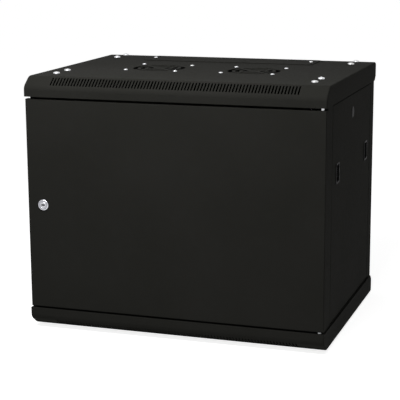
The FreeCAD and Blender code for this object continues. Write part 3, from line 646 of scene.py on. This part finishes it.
# ---- screws ------------------------------------------------------------------------------------
def screw_set_tree():
    """Sets a screw on every point, along the point's outward direction and turned at random."""
    tree, given, result = new_tree("screw_set", (
        ("Head", "Object"), ("Size", "Float"), ("Seed", "Int"), ("Finish", "Material")))
    sizes = given.outputs
    head = wired(tree, "GeometryNodeObjectInfo", "Geometry", {"Object": sizes["Head"]})
    outward = wired(tree, "GeometryNodeInputNamedAttribute", "Attribute", {"Name": "outward"},
                    data_type="FLOAT_VECTOR")
    aim = wired(tree, "FunctionNodeAlignRotationToVector", "Rotation", {"Vector": outward}, axis="Z")
    spin = wired(tree, "FunctionNodeRandomValue", 1, {3: 2 * math.pi, "Seed": sizes["Seed"]},
                 data_type="FLOAT")
    angles = wired(tree, "ShaderNodeCombineXYZ", 0, {"Z": spin})
    own = wired(tree, "FunctionNodeEulerToRotation", "Rotation", {"Euler": angles})
    turned = wired(tree, "FunctionNodeRotateRotation", "Rotation", {"Rotation": aim, "Rotate By": own},
                   rotation_space="LOCAL")
    points = wired(tree, "GeometryNodeMeshToPoints", "Points", {"Mesh": sizes["Geometry"]})
    heads = wired(tree, "GeometryNodeInstanceOnPoints", "Instances", {
        "Points": points, "Instance": head, "Rotation": turned, "Scale": sizes["Size"]})
    real = wired(tree, "GeometryNodeRealizeInstances", "Geometry", {"Geometry": heads})
    plated = wired(tree, "GeometryNodeSetMaterial", "Geometry", {
        "Geometry": real, "Material": sizes["Finish"]})
    tree.links.new(plated, result.inputs["Geometry"])
    return tree


def pan_head(name, sizes):
    """A pan head with a cross recess over a short plain shank. Its underside is at z = 0."""
    diameter, height, shank, length = sizes
    radius = diameter / 2
    edge = height * 0.42
    crown = [(radius * math.cos(turn), edge + (height - edge) * math.sin(turn))
             for turn in (math.pi / 2 * step / 6 for step in range(1, 6))]
    tip = shank / 2 - SHANK_CHAMFER
    profile = [(0, -length), (tip, -length), (shank / 2, -length + SHANK_CHAMFER), (shank / 2, 0),
               (radius - 0.0002, 0), (radius, 0.0003), (radius, edge)] + crown + [(0, height)]
    head = spun(name, profile, "zinc", (0, 0, 0), Z_AXIS, 32)
    arm, depth, width = radius * 0.55, height * 0.6, radius * 0.17

    def recess(along, across):
        """A cutter for one pair of the recess's arms, half as wide at its floor."""
        def build(shape):
            for corner in block(shape, (-along, -across, height - depth), (along, across, height + 0.001)):
                if corner.co.z < height:
                    corner.co.x *= 0.5
                    corner.co.y *= 0.5
        return build

    punched(head, recess(arm, width))
    punched(head, recess(width, arm))
    return smooth(head, 32.0)


def screw_points(name, places):
    """An object of bare points, each with its outward direction. places lists (point, outward)."""
    mesh = bpy.data.meshes.new(name)
    mesh.from_pydata([tuple(point) for point, outward in places], [], [])
    directions = mesh.attributes.new("outward", "FLOAT_VECTOR", "POINT")
    for item, (point, outward) in zip(directions.data, places):
        item.vector = outward
    return placed(name, mesh)


def set_screws(name, places, head, tree, seed, replaces=()):
    """A group of like screws on the carcass, each at its own turn."""
    screws = screw_points(name, places)
    with_tree(screws, tree, {"Head": head, "Size": 1.0, "Seed": seed, "Finish": FINISHES["zinc"]})
    smooth(screws, 32.0)
    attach(screws, "carcass")
    if replaces:
        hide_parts(*replaces)


def middles(node):
    """The middle of each loose solid of a node, in the order of their first vertices."""
    shape = bmesh.new()
    shape.from_mesh(nodes[node].data)
    bmesh.ops.remove_doubles(shape, verts=shape.verts, dist=1e-6)
    left = set(shape.verts)
    found = []
    for first in shape.verts:
        if first not in left:
            continue
        left.remove(first)
        island, waiting = [], [first]
        while waiting:
            vertex = waiting.pop()
            island.append(vertex)
            for edge in vertex.link_edges:
                other = edge.other_vert(vertex)
                if other in left:
                    left.remove(other)
                    waiting.append(other)
        low = Vector([min(v.co[k] for v in island) for k in range(3)])
        high = Vector([max(v.co[k] for v in island) for k in range(3)])
        found.append((low + high) / 2)
    shape.free()
    return found


def all_screws():
    """Every screw group, from three sizes of head."""
    tree = screw_set_tree()
    big = pan_head("big_head", BIG_HEAD)
    small = pan_head("small_head", SMALL_HEAD)
    middle = pan_head("middle_head", MIDDLE_HEAD)
    bolt_middles = middles("top_cover_bolts")
    set_screws("top_bolts", [((m.x, m.y, ROOF), Z_AXIS) for m in bolt_middles], big, tree, 3,
               replaces=("top_cover_bolts",))
    floor_z = 2 * MIDDLE - ROOF
    set_screws("bottom_bolts", [((m.x, m.y, floor_z), -Z_AXIS) for m in bolt_middles], big, tree, 5,
               replaces=("bottom_cover_bolts",))
    set_screws("fan_screws", fan_screw_places(), small, tree, 7)
    set_screws("entry_screws", entry_screw_places(), small, tree, 9)
    set_screws("rail_screws", rail_screw_places(), middle, tree, 11)
    set_screws("depth_rail_screws", depth_rail_screw_places(), small, tree, 13)
    set_screws("rear_screws", rear_screw_places(), small, tree, 15)
    for head in (big, small, middle):
        bpy.data.objects.remove(head)


def fan_screw_places():
    """At the corners of each fan, on the roof."""
    half = FAN_SCREW_SPACING / 2
    return [((x + i * half, y + j * half, ROOF), Z_AXIS)
            for x, y in FAN_CENTRES for i in (-1, 1) for j in (-1, 1)]


def entry_screw_places():
    """At both ends of the two cable entry plates."""
    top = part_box("top_cable_entry_plate")[1][2]
    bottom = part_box("bottom_cable_entry_plate")[0][2]
    return [((i * ENTRY_SCREW_SPACING / 2, ENTRY_Y, z), way)
            for i in (-1, 1) for z, way in ((top, Z_AXIS), (bottom, -Z_AXIS))]


def rail_screw_places():
    """On each rack rail's side flange, where a depth rail crosses it."""
    places = []
    for side, way in SIDES.items():
        for rail in ("front", "rear"):
            low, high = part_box(side + "_" + rail + "_rack_rail")
            y = (low[1] + high[1]) / 2
            inner = way * (min(abs(low[0]), abs(high[0])) + RACK_RAIL_FLANGE - RACK_RAIL_SHEET)
            for level in ("lower", "upper"):
                depth_low, depth_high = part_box(side + "_" + level + "_depth_rail")
                places.append(((inner, y, (depth_low[2] + depth_high[2]) / 2), -way * X_AXIS))
    return places


def depth_rail_screw_places():
    """On the brims of the depth rails, at each end."""
    from_end, from_edge = DEPTH_RAIL_SCREW
    places = []
    for side, way in SIDES.items():
        for level in ("lower", "upper"):
            low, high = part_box(side + "_" + level + "_depth_rail")
            outer = way * (max(abs(low[0]), abs(high[0])) - DEPTH_RAIL_SHEET)
            for y in (low[1] + from_end, high[1] - from_end):
                for z in (low[2] + from_edge, high[2] - from_edge):
                    places.append(((outer, y, z), -way * X_AXIS))
    return places


def rear_screw_places():
    """Through the rear flanges of the side frames into the rear panel, from inside."""
    low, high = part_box("rear_panel")
    inner = low[1] - REAR_FLANGE
    x = high[0] - REAR_SCREW_INSET
    spread = (high[2] - low[2]) * REAR_SCREW_SPREAD
    middle = (low[2] + high[2]) / 2
    return [((i * x, inner, middle + level * spread), -Y_AXIS) for i in (-1, 1) for level in (-1, 0, 1)]


# ---- lock --------------------------------------------------------------------------------------
def lock_bezel(centre, face):
    """Stepped bezel with a turned groove, on the barrel's outer sleeve."""
    low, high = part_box("lock_housing")
    proud = face - low[1]
    radius = (high[0] - low[0]) / 2
    rim = radius - 0.0022
    length = high[1] - face
    sleeve = [(LOCK_BORE, -length), (LOCK_BARREL - 0.0004, -length), (LOCK_BARREL, -length + 0.0004),
              (LOCK_BARREL, -0.0001), (radius, 0)]
    outside = [(radius, proud * 0.35), (radius - 0.0003, proud * 0.62), (radius - 0.0010, proud * 0.90),
               (radius - 0.0015, proud)]
    groove = [(rim, proud * 0.98), (rim - 0.0007, proud * 0.35), (rim - 0.0009, proud * 0.30)]
    inside = [(LOCK_BORE + 0.0012, proud * 0.84), (LOCK_BORE + 0.0009, proud * 0.88),
              (LOCK_BORE + 0.0002, proud * 0.80), (LOCK_BORE, proud * 0.70), (LOCK_BORE, -length)]
    body = spun("lock_bezel", sleeve + outside + groove + inside, "chrome", centre, -Y_AXIS, 64)
    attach(body, "door")
    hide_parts("lock_housing")


def lock():
    """Chromed cam lock: bezel, a plug with a keyway, a black slab in the keyway as painted shade, and the square
    that drives the cam.
    """
    centre_x, centre_z = middle_of("lock_housing")[::2]
    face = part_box("door_panel")[0][1]
    centre = (centre_x, face, centre_z)
    lock_bezel(centre, face)
    plug_low, plug_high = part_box("lock_cylinder")
    plug_face = face - plug_low[1]
    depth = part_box("lock_cam")[0][1] - face
    plug = spun("lock_plug", [
        (0, -depth), (PLUG_RADIUS, -depth), (PLUG_RADIUS, plug_face - 0.0004),
        (PLUG_RADIUS - 0.0004, plug_face), (0.0026, plug_face), (0.0023, plug_face - 0.0004),
        (0, plug_face - 0.0004)], "chrome", centre, -Y_AXIS, 48)

    def slab(half_x, half_z, front, back):
        """A box about the lock's axis, between two distances behind the door's face."""
        return lambda shape: block(shape, (centre_x - half_x, face + front, centre_z - half_z),
                                   (centre_x + half_x, face + back, centre_z + half_z))

    across, up = KEYWAY[0] / 2, KEYWAY[1] / 2
    punched(plug, slab(across, up, -0.01, 0.006))
    smooth(plug, 30.0)
    # a black slab across the keyway: painted shade in place of the dark inside of the keyhole
    floor = slab(across - FIT, up - FIT, -KEYWAY_SHADE_HALF, KEYWAY_SHADE_HALF)
    dark = mesh_object("keyway_floor", floor, "black_plastic")
    square = slab(DRIVE_SQUARE, DRIVE_SQUARE, depth - 0.0002, plug_high[1] - face)
    drive = mesh_object("lock_drive", square, "chrome")
    edge_rounded(drive, 0.0003)
    baked(drive)
    for piece in (plug, dark, drive):
        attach(piece, "lock_barrel")
    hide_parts("lock_cylinder")


# ---- side panel latches and plugs -----------------------------------------------------------------
def rounded_plate(shape, centre, size, corner, steps=6):
    """A flat plate across X with rounded corners. centre is its middle, size its (x, y, z) lengths."""
    half_y, half_z = size[1] / 2 - corner, size[2] / 2 - corner
    outline = []
    for quarter, (sy, sz) in enumerate(((1, 1), (-1, 1), (-1, -1), (1, -1))):
        for step in range(steps + 1):
            turn = math.pi / 2 * (quarter + step / steps)
            outline.append((centre[1] + sy * half_y + corner * math.cos(turn),
                            centre[2] + sz * half_z + corner * math.sin(turn)))
    loops = [[shape.verts.new((x, y, z)) for y, z in outline]
             for x in (centre[0] - size[0] / 2, centre[0] + size[0] / 2)]
    for loop in loops:
        shape.faces.new(loop)
    for i in range(len(outline)):
        j = (i + 1) % len(outline)
        shape.faces.new((loops[0][i], loops[0][j], loops[1][j], loops[1][i]))


def panel_face(side):
    """How far a side panel's outer face lies from the middle of the cabinet."""
    low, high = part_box(side + "_side_panel")
    return max(abs(low[0]), abs(high[0]))


def span_across(node):
    """A node's nearest and farthest distance from the middle, along X."""
    low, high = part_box(node)
    return sorted((abs(low[0]), abs(high[0])))


def latch(side, end):
    """A moulded finger cup with a flange on the panel and a slot for the slider in its floor."""
    way = SIDES[side]
    face = panel_face(side)
    back, front = span_across(side + "_latch_housings")
    low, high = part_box(side + "_latch_housings")
    z = (low[2] + high[2]) / 2
    width, height = LATCH_FLANGE
    y = low[1] + width / 2 if end == "front" else high[1] - width / 2
    cup_y, cup_z = LATCH_CUP

    def plate(inner, outer, size_y, size_z, corner):
        """A rounded plate between two distances from the middle of the cabinet."""
        return lambda shape: rounded_plate(
            shape, (way * (inner + outer) / 2, y, z), (outer - inner, size_y, size_z), corner)

    hollow = plate(back + LATCH_WALL, back + LATCH_WALL + 2 * CUT_REACH, cup_y, cup_z, CUP_CORNER)
    slot = plate(back - CUT_REACH / 2, back + CUT_REACH / 2, LATCH_SLOT[0], LATCH_SLOT[1], SLOT_CORNER)
    flange = mesh_object("flange", plate(face, front, width, height, FLANGE_CORNER), "black_plastic")
    edge_rounded(flange, 0.0006, 3, 50.0)
    baked(flange)
    punched(flange, hollow)
    well = mesh_object("well", plate(back, face, cup_y + 2 * LATCH_WALL, cup_z + 2 * LATCH_WALL, WELL_CORNER),
                       "black_plastic")
    punched(well, hollow)
    punched(well, slot)
    cup = joined(side + "_" + end + "_finger_cup", [flange, well])
    smooth(cup, 35.0)
    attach(cup, side + "_panel")
    return cup


def slider(side, end):
    """The latch's thumb pad with its grip ribs, on the stem and tongue."""
    way = SIDES[side]
    low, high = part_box(side + "_" + end + "_latch")
    z = (low[2] + high[2]) / 2
    inner, outer = span_across(side + "_" + end + "_latch")
    to_end = -1 if end == "front" else 1
    tip, pad_end = (low[1], high[1]) if end == "front" else (high[1], low[1])
    half_y = THUMB[0] / 2
    pad_y = pad_end + to_end * half_y
    pad_low = inner + TONGUE_SHEET + SLIDE_GAP + LATCH_WALL + SLIDE_GAP
    pad_top = outer - GRIP_RIB_HEIGHT

    def pad(shape):
        centre = (way * (pad_low + pad_top) / 2, pad_y, z)
        rounded_plate(shape, centre, (pad_top - pad_low, *THUMB), THUMB_CORNER)

    def ribs(shape):
        reach = half_y - 0.0008
        for rib in range(GRIP_RIBS):
            rib_z = z + (rib - (GRIP_RIBS - 1) / 2) * THUMB[1] / (GRIP_RIBS + 0.6)
            block(shape, (way * (pad_top - 0.0002), pad_y - reach, rib_z - GRIP_RIB_WIDTH / 2),
                  (way * outer, pad_y + reach, rib_z + GRIP_RIB_WIDTH / 2))

    def stem(shape):
        block(shape, (way * (inner + TONGUE_SHEET), pad_y - half_y, z - STEM_HALF),
              (way * (pad_low + 0.0004), pad_y + half_y, z + STEM_HALF))

    def tongue(shape):
        block(shape, (way * inner, tip, z - TONGUE_HALF),
              (way * (inner + TONGUE_SHEET), pad_y - to_end * half_y, z + TONGUE_HALF))

    pieces = [mesh_object(part.__name__, part, "black_plastic") for part in (pad, ribs, stem, tongue)]
    for piece in pieces:
        edge_rounded(piece, 0.0003, 2, 50.0)
        baked(piece)
    whole = joined(side + "_" + end + "_slider", pieces)
    smooth(whole, 35.0)
    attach(whole, side + "_" + end + "_slider")
    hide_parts(side + "_" + end + "_latch")


def hinge_bush():
    """Turned bush on the bottom hinge pin, which carries the door."""
    low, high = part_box("hinge_washer")
    height = high[2] - low[2]
    bush = spun("hinge_bush", [
        (BUSH_BORE, 0), (BUSH_RADIUS, 0), (BUSH_RADIUS, height - 0.0005), (BUSH_RADIUS - 0.0005, height),
        (BUSH_BORE + 0.0002, height), (BUSH_BORE, height - 0.0002), (BUSH_BORE, 0)],
        "zinc", (HINGE.x, HINGE.y, low[2]), Z_AXIS, 40)
    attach(bush, "carcass")
    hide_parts("hinge_washer")


def panel_plug(side):
    """Domed plug in the panel's spare lock hole."""
    way = SIDES[side]
    low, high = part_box(side + "_panel_plug")
    face = panel_face(side)
    proud = span_across(side + "_panel_plug")[1] - face
    radius = (high[2] - low[2]) / 2 * math.cos(math.pi / 24)
    dome = [(radius * math.cos(turn), proud * (0.25 + 0.7 * math.sin(turn)))
            for turn in (math.pi / 2 * step / 8 for step in range(8))]
    shank = [(0, -PLUG_DEPTH), (PLUG_SHANK - 0.0006, -PLUG_DEPTH), (PLUG_SHANK, -PLUG_DEPTH + 0.001),
             (PLUG_SHANK, 0), (radius, 0)]
    cap = spun(side + "_plug_cap", shank + dome + [(0, proud * 0.95)], "black_plastic",
               (way * face, (low[1] + high[1]) / 2, (low[2] + high[2]) / 2), way * X_AXIS, 48)
    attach(cap, side + "_panel")
    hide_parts(side + "_panel_plug")


def side_fittings():
    """The latches and the plug of both side panels."""
    for side in SIDES:
        cups = [latch(side, end) for end in ("front", "rear")]
        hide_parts(side + "_latch_housings")
        for end in ("front", "rear"):
            slider(side, end)
        panel_plug(side)


# ---- fans --------------------------------------------------------------------------------------
def ring_block(shape, inner, outer, low, high, steps=72):
    """A flat ring from a round bore to an outline. outer(turn) gives the outline's reach."""
    loops = []
    for reach, z in ((lambda turn: inner, low), (outer, low), (outer, high), (lambda turn: inner, high)):
        loops.append([shape.verts.new((reach(turn) * math.cos(turn), reach(turn) * math.sin(turn), z))
                      for turn in (2 * math.pi * i / steps for i in range(steps))])
    for first, second in zip(loops, loops[1:] + loops[:1]):
        for i in range(steps):
            j = (i + 1) % steps
            shape.faces.new((first[i], first[j], second[j], second[i]))


def square_reach(half):
    """The reach of a square outline with its corners cut round."""
    return lambda turn: min(half / max(abs(math.cos(turn)), abs(math.sin(turn))), FAN_CORNER)


def fan_frame(side):
    """Moulded frame: two square flanges on a round duct, corner bosses, and a motor plate on three struts."""
    low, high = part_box(side + "_fan_housing")
    half = (high[0] - low[0]) / 2
    height = high[2] - low[2]
    centre = Vector((*middle_of(side + "_fan_housing")[:2], low[2]))

    def build(shape):
        ring_block(shape, FAN_BORE, square_reach(half), 0, FAN_FLANGE)
        ring_block(shape, FAN_BORE, square_reach(half), height - FAN_FLANGE, height)
        ring_block(shape, FAN_BORE, lambda turn: FAN_WALL, FAN_FLANGE, height - FAN_FLANGE)
        spread = FAN_SCREW_SPACING / 2
        for x in (-spread, spread):
            for y in (-spread, spread):
                post = Matrix.Translation((x, y, height / 2))
                bmesh.ops.create_cone(shape, cap_ends=True, segments=24, radius1=FAN_POST, radius2=FAN_POST,
                                      depth=height - 2 * FAN_FLANGE, matrix=post)
        plate = Matrix.Translation((0, 0, FAN_FLANGE / 2))
        plate_radius = FAN_HUB + 0.001
        bmesh.ops.create_cone(shape, cap_ends=True, segments=64, radius1=plate_radius, radius2=plate_radius,
                              depth=FAN_FLANGE, matrix=plate)
        for angle in (90, 210, 330):
            corners = block(shape, (FAN_HUB, -FAN_STRUT_HALF, 0),
                            (FAN_BORE + 0.001, FAN_STRUT_HALF, FAN_FLANGE))
            turn = Matrix.Rotation(math.radians(angle), 3, "Z")
            bmesh.ops.rotate(shape, verts=corners, cent=(0, 0, 0), matrix=turn)
        shape.transform(Matrix.Translation(centre))

    housing = mesh_object(side + "_fan_frame", build, "black_plastic")
    edge_rounded(housing, 0.0003, 2, 50.0)
    baked(housing)
    smooth(housing, 35.0)
    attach(housing, "carcass")
    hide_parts(side + "_fan_housing")


def fan_wheel(side):
    """Impeller: a domed motor cup and seven twisted, bowed blades."""
    low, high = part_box(side + "_fan_impeller")
    height = high[2] - low[2]
    centre = Vector((*middle_of(side + "_fan_housing")[:2], low[2]))
    cup = spun("cup", [
        (0.0041, 0), (FAN_HUB - 0.0004, 0), (FAN_HUB, 0.0004), (FAN_HUB, height - 0.0030),
        (FAN_HUB - 0.0004, height - 0.0014), (FAN_HUB - 0.0016, height - 0.0003), (FAN_HUB - 0.0030, height),
        (0.0130, height), (0.0126, height - 0.0004), (0, height - 0.0004), (0, height - 0.0030),
        (0.0041, height - 0.0030), (0.0041, 0)], "black_plastic", (0, 0, 0), Z_AXIS, 64)
    across = along = 8

    def blades(shape):
        for blade in range(FAN_BLADES):
            start = 2 * math.pi * blade / FAN_BLADES
            layers = []
            for drop in (0, BLADE_SHEET):
                rows = []
                for i in range(across + 1):
                    u = i / across
                    radius = FAN_HUB - BLADE_SINK + (FAN_TIP - FAN_HUB + BLADE_SINK) * u
                    reach = 0.0105 + 0.0065 * u
                    rise = (height - 0.0036 - BLADE_SHEET) * (1 - 0.25 * u)
                    row = []
                    for j in range(along + 1):
                        v = 2 * j / along - 1
                        turn = start + v * reach / radius + BLADE_SWEEP * u
                        z = height / 2 + BLADE_SHEET / 2 + v * rise / 2 + BLADE_BOW * (1 - v * v) - drop
                        row.append(shape.verts.new((radius * math.cos(turn), radius * math.sin(turn), z)))
                    rows.append(row)
                layers.append(rows)
            top, bottom = layers
            for i in range(across):
                for j in range(along):
                    for rows in layers:
                        shape.faces.new((rows[i][j], rows[i + 1][j], rows[i + 1][j + 1], rows[i][j + 1]))
            rim = [(i, 0) for i in range(across)] + [(across, j) for j in range(along)]
            rim += [(i, along) for i in range(across, 0, -1)] + [(0, j) for j in range(along, 0, -1)]
            for (i, j), (m, n) in zip(rim, rim[1:] + rim[:1]):
                shape.faces.new((top[i][j], top[m][n], bottom[m][n], bottom[i][j]))

    wheel = joined(side + "_fan_blades", [cup, mesh_object("blades", blades, "black_plastic")])
    wheel.data.transform(Matrix.Translation(centre))
    smooth(wheel, 40.0)
    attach(wheel, side + "_fan_wheel")
    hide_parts(side + "_fan_impeller")


def fans():
    for side in SIDES:
        fan_frame(side)
        fan_wheel(side)


dress_frame()
covers()
fans()
all_screws()
lock()
side_fittings()
hinge_bush()


# ---- floor, light and camera -------------------------------------------------------------------
def seen_by(tree, *kinds):
    """1 for the given kinds of ray, as Light Path names them, and 0 for all others."""
    path = tree.nodes.new("ShaderNodeLightPath")
    total = path.outputs[kinds[0]]
    for kind in kinds[1:]:
        total = wired(tree, "ShaderNodeMath", 0, {0: total, 1: path.outputs[kind]}, operation="MAXIMUM")
    return total


def white_floor():
    """A pale floor that looks white and still takes the shadow."""
    mesh = bpy.data.meshes.new("floor")
    corners = [(i * FLOOR_HALF, j * FLOOR_HALF, 0) for i, j in ((-1, -1), (1, -1), (1, 1), (-1, 1))]
    mesh.from_pydata(corners, [], [(0, 1, 2, 3)])
    floor = placed("floor", mesh)
    material = bpy.data.materials.new("floor_white")
    material.use_nodes = True
    tree = material.node_tree
    tree.nodes.clear()
    paint = wired(tree, "ShaderNodeBsdfDiffuse", 0, {"Color": FLOOR_PAINT})
    seen = seen_by(tree, *WHITE_RAYS)
    level = wired(tree, "ShaderNodeMath", 0, {0: seen, 1: FLOOR_LIFT}, operation="MULTIPLY")
    lift = wired(tree, "ShaderNodeEmission", 0, {"Strength": level})
    both = wired(tree, "ShaderNodeAddShader", 0, {0: paint, 1: lift})
    end = tree.nodes.new("ShaderNodeOutputMaterial")
    tree.links.new(both, end.inputs["Surface"])
    floor.data.materials.append(material)


def white_world():
    """White where it is seen, and a weak fill elsewhere."""
    world = bpy.data.worlds.new("studio")
    bpy.context.scene.world = world
    world.use_nodes = True
    tree = world.node_tree
    background = tree.nodes["Background"]
    level = wired(tree, "ShaderNodeMapRange", "Result", {
        "Value": seen_by(tree, *WHITE_RAYS), "To Min": WORLD_FILL, "To Max": 1.0})
    tree.links.new(level, background.inputs["Strength"])
    background.inputs["Color"].default_value = (1, 1, 1, 1)


def soft_lamp(name, place, target, size, power):
    """A rectangular area lamp aimed at a point."""
    lamp = bpy.data.lights.new(name, "AREA")
    lamp.shape = "RECTANGLE"
    lamp.size, lamp.size_y = size
    lamp.energy = power
    thing = placed(name, lamp)
    thing.location = place
    thing.rotation_euler = (Vector(target) - Vector(place)).to_track_quat("-Z", "Y").to_euler()


def camera():
    """The view from the front right, a little above."""
    lens = bpy.data.cameras.new("camera")
    lens.sensor_width = 36.0
    lens.lens = CAMERA_LENS
    lens.clip_end = 50.0
    thing = placed("camera", lens)
    azimuth, elevation, roll = (math.radians(angle) for angle in CAMERA_TURN)
    ahead = Vector((-math.sin(azimuth) * math.cos(elevation), math.cos(azimuth) * math.cos(elevation),
                    -math.sin(elevation)))
    right = Vector((math.cos(azimuth), math.sin(azimuth), 0))
    up = right.cross(ahead)
    level = Matrix((right, up, -ahead)).transposed()
    thing.matrix_world = Matrix.Translation(CAMERA_PLACE) @ (level @ Matrix.Rotation(roll, 3, "Z")).to_4x4()
    bpy.context.scene.camera = thing


white_floor()
white_world()
soft_lamp("above", (-0.1, -0.66, 1.10), (0, -0.2, 0.4), (1.0, 0.4), 11.5)
soft_lamp("front_left", (-1.6, -2.2, 0.9), (0, -0.2, 0.25), (1.2, 1.2), 2.0)
camera()

bpy.context.scene.view_settings.view_transform = "Standard"
